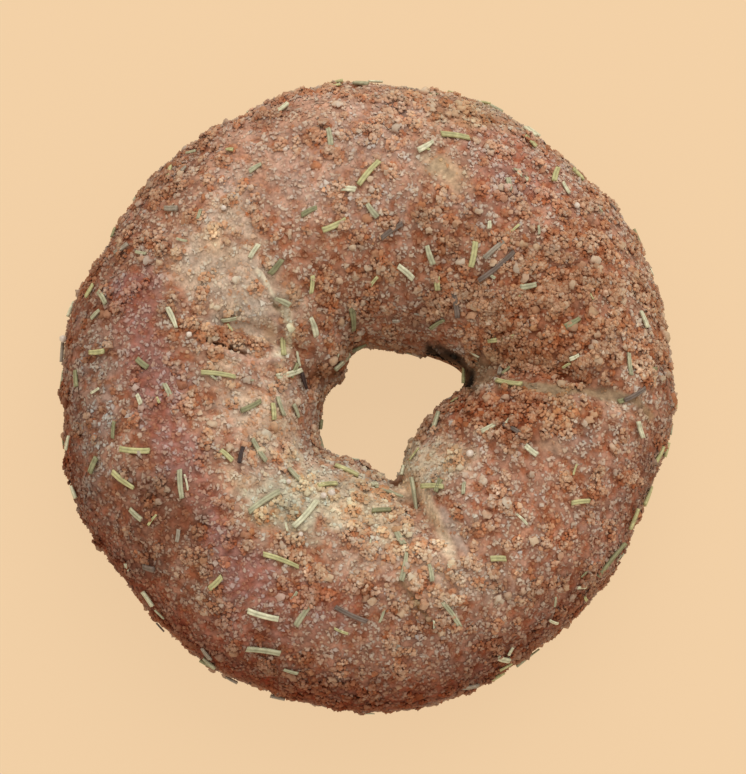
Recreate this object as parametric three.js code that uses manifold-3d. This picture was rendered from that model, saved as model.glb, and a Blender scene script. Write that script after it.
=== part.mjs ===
// A hand-rolled savoury bagel: one baked ring of dough with a crusted, craggy top and cut
// rosemary needles stuck to it. Millimetres, +Z up. It lies on its flat underside, with the
// origin on the table under the middle of its outline. The hole sits a little off centre.

import * as THREE from "three";
import { mergeVertices } from "three/addons/utils/BufferGeometryUtils.js";
import Module from "manifold-3d";

const { clamp, lerp, smoothstep, degToRad } = THREE.MathUtils;

// ---- Driving dimensions, in millimetres. Directions are in degrees, round from +X ----

const CREST_HEIGHT = 35.5;
const WIDEST_LEVEL = 15.5; // where the ring is widest and its hole narrowest
const UNDERSIDE_DROP = 17.5; // reach of the lower half below that level, cut flat by the table
const OUTER_RADIUS = 54.9;
const HOLE_RADIUS = 11;
const HOLE_CENTRE = new THREE.Vector2(2.6, -2.2);

// Roundness of the section: 1 is an ellipse, less is fuller.
const TOP_FULLNESS = 0.92;
const UNDERSIDE_FULLNESS = 0.78;

// How the outlines and the crest wander: so many waves round the ring, their size, one crest.
const OUTER_WAVES = [
  { turns: 1, size: 0.45, crest: 169 },
  { turns: 2, size: 1.05, crest: 74 },
  { turns: 3, size: 0.25, crest: 38 },
  { turns: 4, size: 0.4, crest: 5 },
  { turns: 9, size: 0.2, crest: -2 },
  { turns: 10, size: 0.25, crest: -9 },
  { turns: 11, size: 0.2, crest: 0 },
];
const HOLE_WAVES = [
  { turns: 1, size: 0.2, crest: 157 },
  { turns: 2, size: 1.9, crest: 43 },
  { turns: 3, size: 0.75, crest: 18 },
  { turns: 4, size: 1.05, crest: 20 },
  { turns: 6, size: 0.25, crest: -26 },
  { turns: 7, size: 0.5, crest: 15 },
];
const CREST_WAVES = [
  { turns: 3, size: 0.9, crest: 95 },
  { turns: 5, size: 0.4, crest: 60 },
];

// Seams where the rolled dough meets itself. Each starts at the hole and runs outwards: its
// direction and distance from the hole's centre at both ends, its depth and half width.
const SEAMS = [
  { name: "front", from: 279, to: 299, start: 13, end: 33, depth: 3.0, width: 2.4 },
  { name: "front_tail", from: 274, to: 281, start: 33, end: 45, depth: 1.1, width: 1.7 },
  { name: "right", from: 22, to: -9, start: 15, end: 50, depth: 2.9, width: 2.9 },
  { name: "left", from: 150, to: 157, start: 13, end: 36, depth: 2.4, width: 2.1 },
  { name: "left_branch", from: 144, to: 126, start: 21, end: 35, depth: 1.5, width: 1.9 },
];
const SEAM_OPENING = 4; // a seam reaches its depth over this length, either side of its start
const SEAM_SHARPNESS = 1.4; // 2 is a round valley, 1 a cut
const SEAM_BELOW = 3; // seams fade out between this level and the widest one

// The topping covers everything above the upper of these levels and nothing below the lower.
const TOPPING_FROM = 7;
const TOPPING_FULL = 15;
const CRAG_HEIGHT = 0.7;
const CRAG_SEED = 11;

const NEEDLE_WIDTH = 1.15;
const NEEDLE_THICKNESS = 0.9;
const NEEDLE_RAISED = 0.15; // of its axis above the smooth dough
const NEEDLE_BEND = 0.03; // sideways bow, as a share of its length
const NEEDLE_LONGEST = 4.2;
const NEEDLE_SHORTEST = 2.4;
const NEEDLE_SPACING = 4.6; // least distance between a strewn needle and its neighbours
const NEEDLES_STREWN = 76;
const NEEDLE_SEED = 2024;

// The needles that catch the eye, rounded to half millimetres and five degrees: place in plan,
// heading, length. The rest are strewn by rule.
const PLACED_NEEDLES = [
  [-5, 5, 5, 4.5], [42, -30, 25, 8], [22, 20, 40, 8], [7, -18, -70, 6.5],
  [24, 0, -35, 6], [-18, -21, 35, 6.5], [-11, -23, 50, 6.5], [-15, -31, -20, 6.5],
  [3, -18, -50, 6], [-26, 1, -5, 6], [-3, -40, -25, 6], [-18, -46, 0, 6],
  [-14, 2, 10, 5.5], [-3, 12, -75, 5.5], [23, 8, 20, 5.5], [22, 23, 40, 5.5],
  [-18, -40, -15, 5.5], [0, 36, 50, 5.5], [-40, -12, -5, 5.5], [14, -40, -55, 5.5],
  [-42, -17, -30, 5], [15, 14, -85, 5], [-32, -18, -85, 5], [-11, -40, 55, 5],
  [6, -32, 80, 5], [15, 43, 0, 5], [-6, 27, 25, 4.5], [4, 26, 35, 4.5],
  [-19, -12, -55, 4.5], [-4, -15, -30, 4.5], [46, -2, 25, 4.5], [12, -6, -75, 3.5],
  [18, 22, 80, 4.5], [11, -18, -10, 4.5], [21, -8, 20, 3.5], [-34, 11, -65, 4],
];

// Mesh steps: round the ring, round its section, and how much they crowd towards the crest.
const RING_STEPS = 104;
const SECTION_STEPS = 24;
const CREST_CROWDING = 0.3;
const NEEDLE_SIDES = 5;
const NEEDLE_STEPS = 2;

const CRUST_COLOUR = 0xb5835d;

// ---- Form of the dough ring. around runs round the hole, section round the dough from its
// outermost line, over the crest at a quarter turn ----

/** Sum of the waves in a list, in the direction around. */
function wander(waves, around) {
  return waves.reduce(
    (sum, { turns, size, crest }) => sum + size * Math.cos(turns * (around - degToRad(crest))),
    0,
  );
}

/** Rounded power that keeps its sign, for a superellipse. */
function fuller(value, fullness) {
  return Math.sign(value) * Math.abs(value) ** fullness;
}

/** Plan position of a share across the dough: 0 at the hole, 1 at the outside. */
function planPoint(around, across) {
  const outwards = new THREE.Vector2(Math.cos(around), Math.sin(around));
  const hole = HOLE_RADIUS + wander(HOLE_WAVES, around);
  const outside = OUTER_RADIUS + wander(OUTER_WAVES, around);
  return HOLE_CENTRE.clone()
    .multiplyScalar(1 - across)
    .addScaledVector(outwards, lerp(hole, outside, across));
}

/** The ring before its seams are pressed in. */
function ringPoint(around, section) {
  const rise = Math.sin(section);
  const above = rise > 0;
  const fullness = above ? TOP_FULLNESS : UNDERSIDE_FULLNESS;
  const reach = above
    ? CREST_HEIGHT + wander(CREST_WAVES, around) - WIDEST_LEVEL
    : UNDERSIDE_DROP;
  const across = 0.5 + 0.5 * fuller(Math.cos(section), above ? 1 : fullness);
  const plan = planPoint(around, across);
  const height = WIDEST_LEVEL + reach * fuller(rise, fullness);
  return new THREE.Vector3(plan.x, plan.y, Math.max(0, height));
}

/** How deep the seams press into the dough at a point. */
function seamDepth({ x, y, z }) {
  const dx = x - HOLE_CENTRE.x;
  const dy = y - HOLE_CENTRE.y;
  const distance = Math.hypot(dx, dy);
  const direction = Math.atan2(dy, dx);
  const below = smoothstep(z, SEAM_BELOW, WIDEST_LEVEL);
  return SEAMS.reduce((sum, seam) => {
    const along = clamp((distance - seam.start) / (seam.end - seam.start), 0, 1);
    const turned = direction - degToRad(lerp(seam.from, seam.to, along));
    if (Math.cos(turned) < 0) return sum;
    const aside = Math.abs(distance * Math.sin(turned)) / seam.width;
    const open = smoothstep(distance, seam.start - SEAM_OPENING, seam.start + SEAM_OPENING);
    const fade = open * (1 - smoothstep(along, 0.5, 1));
    return sum + below * fade * seam.depth * Math.exp(-(aside ** SEAM_SHARPNESS));
  }, 0);
}

/** Outward normal of a surface given by (around, section), by small steps. */
function normalOf(surface, around, section) {
  const step = 1e-3;
  const alongRing = surface(around + step, section).sub(surface(around - step, section));
  const upSection = surface(around, section + step).sub(surface(around, section - step));
  return alongRing.cross(upSection).normalize();
}

/** The dough's surface, seams pressed in. */
function doughPoint(around, section) {
  const point = ringPoint(around, section);
  const depth = seamDepth(point);
  if (depth < 1e-6) return point;
  return point.addScaledVector(normalOf(ringPoint, around, section), -depth);
}

/** The (around, section) above a plan position on the topped side. */
function surfaceAbove(x, y) {
  const plan = new THREE.Vector2(x, y);
  let across = 0.5;
  let around = 0;
  for (let pass = 0; pass < 12; pass++) {
    const spoke = plan.clone().addScaledVector(HOLE_CENTRE, across - 1);
    around = spoke.angle();
    const hole = HOLE_RADIUS + wander(HOLE_WAVES, around);
    const outside = OUTER_RADIUS + wander(OUTER_WAVES, around);
    across = clamp((spoke.length() - hole) / (outside - hole), 0, 1);
  }
  return { around, section: Math.acos(2 * across - 1) };
}

// ---- Draws by rule ----

/** A seeded generator of numbers from 0 to 1 (mulberry32). */
function seededDraws(seed) {
  let state = seed >>> 0;
  return () => {
    state = (state + 0x6d2b79f5) >>> 0;
    let mixed = Math.imul(state ^ (state >>> 15), state | 1);
    mixed ^= mixed + Math.imul(mixed ^ (mixed >>> 7), mixed | 61);
    return ((mixed ^ (mixed >>> 14)) >>> 0) / 4294967296;
  };
}

// ---- Pieces ----

/** The ring as a closed mesh, its topped side raised into crags. */
function doughGeometry() {
  const torus = new THREE.TorusGeometry(1, 0.5, SECTION_STEPS, RING_STEPS);
  const position = torus.getAttribute("position");
  const uv = torus.getAttribute("uv");
  const draw = seededDraws(CRAG_SEED);
  const crags = Array.from({ length: RING_STEPS * SECTION_STEPS }, draw);
  for (let i = 0; i < position.count; i++) {
    const ringStep = Math.round(uv.getX(i) * RING_STEPS) % RING_STEPS;
    const sectionStep = Math.round(uv.getY(i) * SECTION_STEPS) % SECTION_STEPS;
    const turn = (2 * Math.PI * sectionStep) / SECTION_STEPS;
    const around = (2 * Math.PI * ringStep) / RING_STEPS;
    const section = turn + CREST_CROWDING * Math.cos(turn);
    const point = doughPoint(around, section);
    const topping = smoothstep(point.z, TOPPING_FROM, TOPPING_FULL);
    const crag = CRAG_HEIGHT * topping * crags[ringStep * SECTION_STEPS + sectionStep];
    point.addScaledVector(normalOf(doughPoint, around, section), crag);
    position.setXYZ(i, point.x, point.y, point.z);
  }
  return torus;
}

/** One needle: where it lies on the dough, its heading in plan and its length. */
function needle({ around, section }, heading, length) {
  return {
    centre: doughPoint(around, section),
    normal: normalOf(doughPoint, around, section),
    heading: degToRad(heading),
    length,
  };
}

/** Needles strewn over the topping, the longest first, each clear of those before it. */
function strewnNeedles(placed) {
  const draw = seededDraws(NEEDLE_SEED);
  const all = [...placed];
  while (all.length < placed.length + NEEDLES_STREWN) {
    const around = draw() * 2 * Math.PI;
    const section = lerp(-0.06, 1.02, draw()) * Math.PI;
    const keep = draw() * OUTER_RADIUS;
    const heading = draw() * 180;
    const shareDone = (all.length - placed.length) / NEEDLES_STREWN;
    const length = lerp(NEEDLE_LONGEST, NEEDLE_SHORTEST, Math.sqrt(shareDone));
    const made = needle({ around, section }, heading, length);
    const roomForIt = all.every((other) => other.centre.distanceTo(made.centre) > NEEDLE_SPACING);
    if (roomForIt && keep < Math.hypot(made.centre.x, made.centre.y)) all.push(made);
  }
  return all;
}

/** A needle as a flattened, slightly bowed rod half sunk in the dough. */
function needleGeometry({ centre, normal, heading, length }, index) {
  const rod = new THREE.CylinderGeometry(0.5, 0.5, 1, NEEDLE_SIDES, NEEDLE_STEPS);
  const along = new THREE.Vector3(Math.cos(heading), Math.sin(heading), 0)
    .projectOnPlane(normal)
    .normalize();
  const across = along.clone().cross(normal);
  const bow = (index % 2 ? 1 : -1) * NEEDLE_BEND * length;
  const position = rod.getAttribute("position");
  for (let i = 0; i < position.count; i++) {
    const share = position.getY(i);
    const aside = position.getX(i) * NEEDLE_WIDTH + bow * (4 * share * share - 1);
    const up = position.getZ(i) * NEEDLE_THICKNESS + NEEDLE_RAISED;
    const point = centre
      .clone()
      .addScaledVector(along, share * length)
      .addScaledVector(across, aside)
      .addScaledVector(normal, up);
    position.setXYZ(i, point.x, point.y, point.z);
  }
  return rod;
}

// ---- Joining ----

const wasm = await Module();
wasm.setup();

/** A closed geometry as a solid. */
function solidOf(geometry) {
  const bare = new THREE.BufferGeometry();
  bare.setAttribute("position", geometry.getAttribute("position"));
  bare.setIndex(geometry.index);
  const merged = mergeVertices(bare, 1e-4);
  return new wasm.Manifold(
    new wasm.Mesh({
      numProp: 3,
      vertProperties: merged.getAttribute("position").array,
      triVerts: new Uint32Array(merged.index.array),
    }),
  );
}

/** A solid as a flat-shaded geometry. */
function geometryOf(solid) {
  const mesh = solid.getMesh();
  const geometry = new THREE.BufferGeometry();
  geometry.setAttribute("position", new THREE.BufferAttribute(mesh.vertProperties, 3));
  geometry.setIndex(new THREE.BufferAttribute(mesh.triVerts, 1));
  geometry.computeVertexNormals();
  return geometry;
}

const placedNeedles = PLACED_NEEDLES.map(([x, y, heading, length]) =>
  needle(surfaceAbove(x, y), heading, length),
);
const toppedDough = strewnNeedles(placedNeedles)
  .map((made, index) => solidOf(needleGeometry(made, index)))
  .reduce((whole, rod) => whole.add(rod), solidOf(doughGeometry()));

const bagel = new THREE.Mesh(
  geometryOf(toppedDough),
  new THREE.MeshStandardMaterial({ color: CRUST_COLOUR, roughness: 0.85, metalness: 0 }),
);
bagel.name = "bagel";

const group = new THREE.Group();
group.add(bagel);

export default group;
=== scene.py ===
"""A hand-rolled savoury bagel, crusted with crumbs and cut rosemary, seen from nearly overhead.

The dough follows the same form as the solid that it stands for. Crumbs, rosemary and salt lie on it
by seeded rules. Lengths are in millimetres, turned into metres where a mesh, light or camera is
made. Colours of the food are sRGB, 0 to 255, turned into linear ones for the meshes. Tints are factors
of linear colours, and the stage's colours are linear, 0 to 1.
"""

import math

import bmesh
import bpy
import numpy as np
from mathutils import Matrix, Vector


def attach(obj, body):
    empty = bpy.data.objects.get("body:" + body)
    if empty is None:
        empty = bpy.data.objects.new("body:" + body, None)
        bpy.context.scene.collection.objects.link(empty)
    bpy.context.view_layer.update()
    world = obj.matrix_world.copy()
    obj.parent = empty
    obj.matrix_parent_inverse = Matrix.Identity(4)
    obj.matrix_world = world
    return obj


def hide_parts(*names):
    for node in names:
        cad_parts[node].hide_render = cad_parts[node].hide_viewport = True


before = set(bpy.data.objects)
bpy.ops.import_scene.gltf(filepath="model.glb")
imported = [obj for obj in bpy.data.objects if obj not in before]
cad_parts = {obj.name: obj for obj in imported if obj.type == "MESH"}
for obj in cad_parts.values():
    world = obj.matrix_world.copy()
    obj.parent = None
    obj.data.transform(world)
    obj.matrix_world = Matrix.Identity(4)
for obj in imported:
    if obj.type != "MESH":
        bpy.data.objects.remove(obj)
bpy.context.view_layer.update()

MM = 0.001

# ---- Form of the dough ring, as in the solid. Directions are in degrees, round from +X ----

CREST_HEIGHT = 35.5
WIDEST_LEVEL = 15.5  # where the ring is widest and its hole narrowest
UNDERSIDE_DROP = 17.5  # reach of the lower half below that level, cut flat by the table
OUTER_RADIUS = 54.9
HOLE_RADIUS = 11
HOLE_CENTRE = np.array([2.6, -2.2])

# Roundness of the section: 1 is an ellipse, less is fuller.
TOP_FULLNESS = 0.92
UNDERSIDE_FULLNESS = 0.78

# Waves round the ring: how many, their size, the direction of one crest.
OUTER_WAVES = [
    (1, 0.45, 169),
    (2, 1.05, 74),
    (3, 0.25, 38),
    (4, 0.4, 5),
    (9, 0.2, -2),
    (10, 0.25, -9),
    (11, 0.2, 0),
]
HOLE_WAVES = [(1, 0.2, 157), (2, 1.9, 43), (3, 0.75, 18), (4, 1.05, 20), (6, 0.25, -26), (7, 0.5, 15)]
CREST_WAVES = [(3, 0.9, 95), (5, 0.4, 60)]

# Seams: direction and distance from the hole's centre at both ends, depth, half width.
SEAMS = {
    "front": dict(turn=(279, 299), reach=(13, 33), depth=3.0, width=2.4),
    "front_tail": dict(turn=(274, 281), reach=(33, 45), depth=1.1, width=1.7),
    "right": dict(turn=(22, -9), reach=(15, 50), depth=2.9, width=2.9),
    "left": dict(turn=(150, 157), reach=(13, 36), depth=2.4, width=2.1),
    "left_branch": dict(turn=(144, 126), reach=(21, 35), depth=1.5, width=1.9),
}
SEAM_OPENING = 4  # a seam reaches its depth over this length, either side of its start
SEAM_SHARPNESS = 1.4  # 2 is a round valley, 1 a cut
SEAM_BELOW = 3  # seams fade out between this level and the widest one

# The topping covers everything above TOPPING_FULL and nothing below TOPPING_FROM. It is heaped to
# its whole height only above HEAPED_FULL.
TOPPING_FROM = 7
TOPPING_FULL = 15
HEAPED_FULL = 28

# ---- Rosemary needles, as in the solid: place in plan, heading in degrees, length, tone ----

NEEDLE_WIDTH = 1.15
NEEDLE_THICKNESS = 0.9
NEEDLE_BEND = 0.03  # sideways bow, as a share of its length
NEEDLE_LONGEST = 4.2
NEEDLE_SHORTEST = 2.4
NEEDLE_SPACING = 4.6  # least distance between a strewn needle and its neighbours
NEEDLES_STREWN = 76
NEEDLES_OVER = (-0.06, 1.02)  # the section angles that they are strewn over, in half turns
NEEDLE_SEED = 2024
PLACED_NEEDLES = [
    (-5, 5, 5, 4.5, "sage"), (42, -30, 25, 8, "green"), (22, 20, 40, 8, "dark"),
    (7, -18, -70, 6.5, "sage"), (24, 0, -35, 6, "lime"), (-18, -21, 35, 6.5, "sage"),
    (-11, -23, 50, 6.5, "pale"), (-15, -31, -20, 6.5, "lime"), (3, -18, -50, 6, "sage"),
    (-26, 1, -5, 6, "lime"), (-3, -40, -25, 6, "dark"), (-18, -46, 0, 6, "sage"),
    (-14, 2, 10, 5.5, "pale"), (-3, 12, -75, 5.5, "green"), (23, 8, 20, 5.5, "lime"),
    (22, 23, 40, 5.5, "grey"), (-18, -40, -15, 5.5, "pale"), (0, 36, 50, 5.5, "lime"),
    (-40, -12, -5, 5.5, "lime"), (14, -40, -55, 5.5, "sage"), (-42, -17, -30, 5, "lime"),
    (15, 14, -85, 5, "dark"), (-32, -18, -85, 5, "sage"), (-11, -40, 55, 5, "sage"),
    (6, -32, 80, 5, "sage"), (15, 43, 0, 5, "lime"), (-6, 27, 25, 4.5, "lime"),
    (4, 26, 35, 4.5, "dark"), (-19, -12, -55, 4.5, "sage"), (-4, -15, -30, 4.5, "lime"),
    (46, -2, 25, 4.5, "dark"), (12, -6, -75, 3.5, "sage"), (18, 22, 80, 4.5, "lime"),
    (11, -18, -10, 4.5, "lime"), (21, -8, 20, 3.5, "pale"), (-34, 11, -65, 4, "pale"),
]


def smoothstep(value, low, high):
    share = np.clip((value - low) / (high - low), 0, 1)
    return share * share * (3 - 2 * share)


def lerp(low, high, share):
    return low + (high - low) * share


def wander(waves, around):
    """Sum of the waves in a list, in the direction around."""
    return sum(size * np.cos(turns * (around - math.radians(crest))) for turns, size, crest in waves)


def fuller(value, fullness):
    """Rounded power that keeps its sign."""
    return np.sign(value) * np.abs(value) ** fullness


def ring_point(around, section):
    """The ring before its seams are pressed in, for arrays of directions and section angles."""
    rise = np.sin(section)
    above = rise > 0
    fullness = np.where(above, TOP_FULLNESS, UNDERSIDE_FULLNESS)
    crest = CREST_HEIGHT + wander(CREST_WAVES, around) - WIDEST_LEVEL
    reach = np.where(above, crest, UNDERSIDE_DROP)
    across = 0.5 + 0.5 * fuller(np.cos(section), np.where(above, 1, UNDERSIDE_FULLNESS))
    hole = HOLE_RADIUS + wander(HOLE_WAVES, around)
    outside = OUTER_RADIUS + wander(OUTER_WAVES, around)
    radius = lerp(hole, outside, across)
    x = HOLE_CENTRE[0] * (1 - across) + np.cos(around) * radius
    y = HOLE_CENTRE[1] * (1 - across) + np.sin(around) * radius
    z = np.maximum(0, WIDEST_LEVEL + reach * fuller(rise, fullness))
    return np.stack([x, y, z], axis=-1)


def seam_fade(points, seam):
    """How far aside of a seam points lie, and how open it is there: closing over its outer half."""
    offset = points[..., :2] - HOLE_CENTRE
    distance = np.hypot(offset[..., 0], offset[..., 1])
    direction = np.arctan2(offset[..., 1], offset[..., 0])
    start, end = seam["reach"]
    along = np.clip((distance - start) / (end - start), 0, 1)
    turned = direction - np.radians(lerp(*seam["turn"], along))
    opened = smoothstep(distance, start - SEAM_OPENING, start + SEAM_OPENING)
    fade = opened * (1 - smoothstep(along, 0.5, 1))
    return distance * np.sin(turned), np.where(np.cos(turned) > 0, fade, 0)


def seam_depth(points):
    """How deep the seams press into the dough."""
    depth = np.zeros(points.shape[:-1])
    for seam in SEAMS.values():
        aside, fade = seam_fade(points, seam)
        depth += fade * seam["depth"] * np.exp(-np.abs(aside / seam["width"]) ** SEAM_SHARPNESS)
    return depth * smoothstep(points[..., 2], SEAM_BELOW, WIDEST_LEVEL)


def normal_of(surface, around, section):
    """Outward normal and the area of a step, by small steps."""
    step = 1e-3
    along_ring = surface(around + step, section) - surface(around - step, section)
    up_section = surface(around, section + step) - surface(around, section - step)
    normal = np.cross(along_ring, up_section)
    size = np.linalg.norm(normal, axis=-1, keepdims=True)
    return normal / np.maximum(size, 1e-12), size[..., 0] / (4 * step * step)


def dough_point(around, section):
    """The dough's surface, seams pressed in."""
    point = ring_point(around, section)
    normal, _ = normal_of(ring_point, around, section)
    return point - normal * seam_depth(point)[..., None]


PLACING_PASSES = 12


def surface_above(x, y):
    """The (around, section) above a plan position on the topped side."""
    across = 0.5
    for _ in range(PLACING_PASSES):
        spoke_x = x + HOLE_CENTRE[0] * (across - 1)
        spoke_y = y + HOLE_CENTRE[1] * (across - 1)
        around = math.atan2(spoke_y, spoke_x)
        hole = HOLE_RADIUS + wander(HOLE_WAVES, around)
        outside = OUTER_RADIUS + wander(OUTER_WAVES, around)
        across = min(max((math.hypot(spoke_x, spoke_y) - hole) / (outside - hole), 0), 1)
    return around, math.acos(2 * across - 1)


def topped(points):
    """Share of the topping at each point: none low down, all of it above."""
    return smoothstep(points[..., 2], TOPPING_FROM, TOPPING_FULL)


def heaped(points):
    """Share of its whole height that the topping is heaped to at each point."""
    return smoothstep(points[..., 2], TOPPING_FROM, HEAPED_FULL)


# ---- Noise, the same each run ----

WORD = 0xFFFFFFFF
CELL_PRIMES = (73856093, 19349663, 83492791)
SEED_PRIME = 2654435761
MIXING = ((15, 0x2C1B3C6D), (12, 0x297A2D39))
LAST_SHIFT = 15
GRANULE_JITTER = 0.7
GRANULE_REACH = (0.45, 0.85)
GRANULE_HEIGHT = (0.4, 1)


def hashed(cells, seed):
    """Numbers from 0 to 1 for whole-number cells."""
    x, y, z = (cells[..., axis] * prime for axis, prime in enumerate(CELL_PRIMES))
    mixed = (x ^ y ^ z ^ (seed * SEED_PRIME)) & WORD
    for shift, factor in MIXING:
        mixed = ((mixed ^ (mixed >> shift)) * factor) & WORD
    return (mixed ^ (mixed >> LAST_SHIFT)) / WORD


def mottle(points, size, seed):
    """Smooth noise from 0 to 1, its blotches about size across."""
    scaled = points / size
    low = np.floor(scaled).astype(np.int64)
    part = scaled - low
    part = part * part * (3 - 2 * part)
    total = np.zeros(points.shape[:-1])
    for corner in np.ndindex(2, 2, 2):
        weight = np.where(corner, part, 1 - part).prod(axis=-1)
        total += weight * hashed(low + np.array(corner), seed)
    return total


def mottled(points, blotches):
    """Several noises summed about 0, each given by the size of its blotches and its seed."""
    return sum(mottle(points, size, seed) for size, seed in blotches) - len(blotches) / 2


def granules(points, size, seed):
    """Rounded granules packed side by side, about size across: 1 at most on top, 0 between them."""
    scaled = points / size
    low = np.floor(scaled).astype(np.int64)
    best = np.zeros(points.shape[:-1])
    for offset in np.ndindex(3, 3, 3):
        cell = low + np.array(offset) - 1
        jitter = np.stack([hashed(cell, seed + axis) - 0.5 for axis in range(3)], axis=-1)
        reach = lerp(*GRANULE_REACH, hashed(cell, seed + 3))
        away = ((scaled - cell - 0.5 - GRANULE_JITTER * jitter) ** 2).sum(axis=-1)
        height = lerp(*GRANULE_HEIGHT, hashed(cell, seed + 4))
        best = np.maximum(best, height * np.sqrt(np.maximum(1 - away / reach**2, 0)))
    return best


# ---- Marks: places where the crust looks unlike the rest. A mark's colour is its average one there:
# the ground is darker and redder by DOUGH_TINT and crumbs lighter by CRUMB_TINT, as far as "contrast"
# says. "fine" and "coarse" say how thickly those crumbs lie and "heaped" how high the crust is heaped
# (1 is usual), "rise" lifts the dough in millimetres, and "through" marks the sides below too ----

CRUST = (180, 162, 145)
GOLDEN = (185, 168, 140)
AMBER = (186, 158, 127)
ROSY = (193, 173, 156)
BISCUIT = (203, 190, 170)
PALE_DOUGH = (215, 198, 170)
CREAM = (206, 200, 176)
WHITISH = (204, 205, 182)
MAUVE = (172, 144, 138)
DUSKY = (178, 152, 140)
GREYISH = (174, 175, 168)
OLIVE = (152, 134, 108)
BROWN = (165, 137, 115)
RUSTY = (160, 123, 96)
UMBER = (136, 109, 92)
COPPER = (145, 99, 70)
DARK = (122, 84, 58)
SHADOW_BLACK = (3, 2, 2)
DOUGH_TINT = np.array([0.7, 0.33, 0.21])
CRUMB_TINT = np.array([1.18, 1.32, 1.38])


def patch(at, half, heading, colour, **more):
    """An ellipse in plan: its middle, half lengths and heading."""
    return dict(at=at, half=half, heading=heading, colour=colour, **more)


def stroke(path, half, colour, **more):
    """A line in plan and its half width."""
    return dict(path=path, half=half, colour=colour, **more)


BARE = dict(fine=0.2, coarse=0, heaped=0.2)
SPARSE = dict(fine=0.9, coarse=0.7, heaped=0.8)
CRUMBLY = dict(coarse=2.5, heaped=1.7)
SOFT = dict(contrast=0.45, heaped=0.6)
EVEN = dict(contrast=0.7)

# Broad fields first, then what lies over them.
MARKS = {
    "top_golden": patch((14, 48), (20, 8), -15, GOLDEN, **EVEN),
    "top_rosy": patch((-6, 42), (24, 14), 5, ROSY, **EVEN),
    "back_left": patch((-24, 34), (15, 9), 35, ROSY, **EVEN),
    "back_right": patch((27, 36), (11, 9), -40, DUSKY),
    "right_rosy": patch((30, -22), (18, 14), 0, ROSY),
    "right_pale": patch((46, 8), (7, 14), 0, BISCUIT),
    "front_pale": patch((7, -32), (16, 7), -10, BISCUIT, **EVEN),
    "front_red": patch((-12, -39), (16, 5), 10, DUSKY),
    "left_grey": patch((-48, -5), (5, 18), 0, GREYISH),
    "north": patch((5, 16), (15, 10), 0, BROWN),
    "north_rim": patch((4, 8.5), (15, 3.5), -8, BROWN, through=True),
    "right_crumble": patch((33, 11), (15, 18), 0, BROWN, **CRUMBLY),
    "right_brown": patch((27, 9), (8, 9), 0, RUSTY, **CRUMBLY),
    "right_ridge": patch((24, -5), (12, 4), -8, COPPER, **CRUMBLY),
    "right_wall": patch((17, -2.5), (3, 4), 0, COPPER, through=True),
    "ridge_orange": patch((34, -6), (5, 3), 0, AMBER, **CRUMBLY),
    "ridge_cream": patch((44, -4.5), (4.5, 2.5), 0, BISCUIT, fine=0.8),
    "cream_left": patch((-19, -6), (7, 11), 10, BISCUIT, **SOFT),
    "cream_hole": patch((-3, -20), (13, 7), -10, CREAM, **SOFT),
    "cream_front": patch((-13, -21), (8, 6), 20, WHITISH, **SOFT),
    "cream_right": patch((10, -14), (6, 5), 30, CREAM, **SOFT),
    "left_slope": patch((-20, 12), (8, 8), -30, BISCUIT, **SOFT, fine=0.7, coarse=0.6),
    "pale_shoulder": patch((-27, 23), (7, 10), -10, BISCUIT, **SOFT, fine=0.8, coarse=0.5),
    "bare_shoulder": patch((-26, 24), (3, 2), -60, PALE_DOUGH, **BARE),
    "bare_top": patch((12, 37), (5, 2.5), -30, GOLDEN, **BARE),
    "purple_band": stroke([(-41, 16), (-38, 2), (-34, -10), (-30, -22), (-21, -34)], 4, MAUVE, **SPARSE),
    "dark_left": patch((-36, -24), (7, 11), 15, UMBER, fine=0.85, coarse=0.9),
    "left_wall": patch((-9, 2.5), (3.5, 2.5), 0, DARK, fine=0.5, coarse=0.4, through=True),
    # A black line down the hole's wall at its right corner, and the darker crust beside it: painted shadow
    # and shade.
    "shaded_corner": patch((20, 2.5), (3.5, 4), 0, OLIVE, fine=0.6, coarse=0.4, through=True),
    "corner_shadow": stroke(
        [(11, 7), (13, 6), (15.5, 5), (17, 3), (17.3, 0.5)], 1.1, SHADOW_BLACK, **BARE, through=True
    ),
    "torn_hollow": patch((-17, 9), (1.6, 2.4), 30, AMBER, **BARE),
    "torn_fold": stroke([(-19, 19), (-17.5, 16.5), (-16, 14)], 0.4, CREAM, **BARE, rise=0.4),
    "torn_slit": stroke([(-17, 14.5), (-15.5, 12.5)], 0.25, OLIVE, **BARE, rise=-0.4),
    "torn_dough": stroke(
        [(-14.5, 12.5), (-13.5, 9.5), (-14.5, 7), (-16, 4)], 0.9, WHITISH, fine=0.4, coarse=0.2, rise=0.5
    ),
    "torn_lip": stroke(
        [(-16, 4), (-19, 3.5), (-22.5, 4.5), (-28, 6)], 0.5, ROSY, fine=0.5, coarse=0.2, rise=0.3
    ),
    # A dark line in the gap under the tear's lip: painted shadow.
    "torn_gap_shadow": stroke([(-28, 7.3), (-24, 6), (-21, 5)], 0.35, DARK, **BARE, rise=-0.8),
    "torn_bank": stroke([(-26.5, 8.5), (-22, 7.5), (-18, 6)], 0.9, BROWN, coarse=2.5, rise=0.3),
    "front_strip": stroke([(5, -16.5), (9, -19), (11.5, -23), (14, -30)], 1.3, PALE_DOUGH, **BARE),
    "front_red_strip": stroke([(12.5, -22), (14, -25.5), (17, -30)], 0.7, ROSY, **BARE),
    # A dark spot in the dent where the front seam opens at the hole: painted shade.
    "front_notch_shade": patch((4.5, -16), (1.2, 1.2), 0, DARK, **BARE, rise=-0.6),
    "tail_crease": stroke([(5.5, -34.5), (10.5, -42)], 0.5, OLIVE, fine=0.4, coarse=0, rise=-0.5),
    "right_strip": stroke([(23.5, 0), (31.5, -1.5), (39.5, -2), (46, -3), (49, -5.5)], 0.9, OLIVE, **BARE),
    "smooth_dusky": patch((32, -11.5), (2.6, 1.4), -10, BROWN, **BARE),
}
PATCH_EDGE = (0.3, 1.5)
STROKE_EDGE = (0.4, 1.6)

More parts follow.
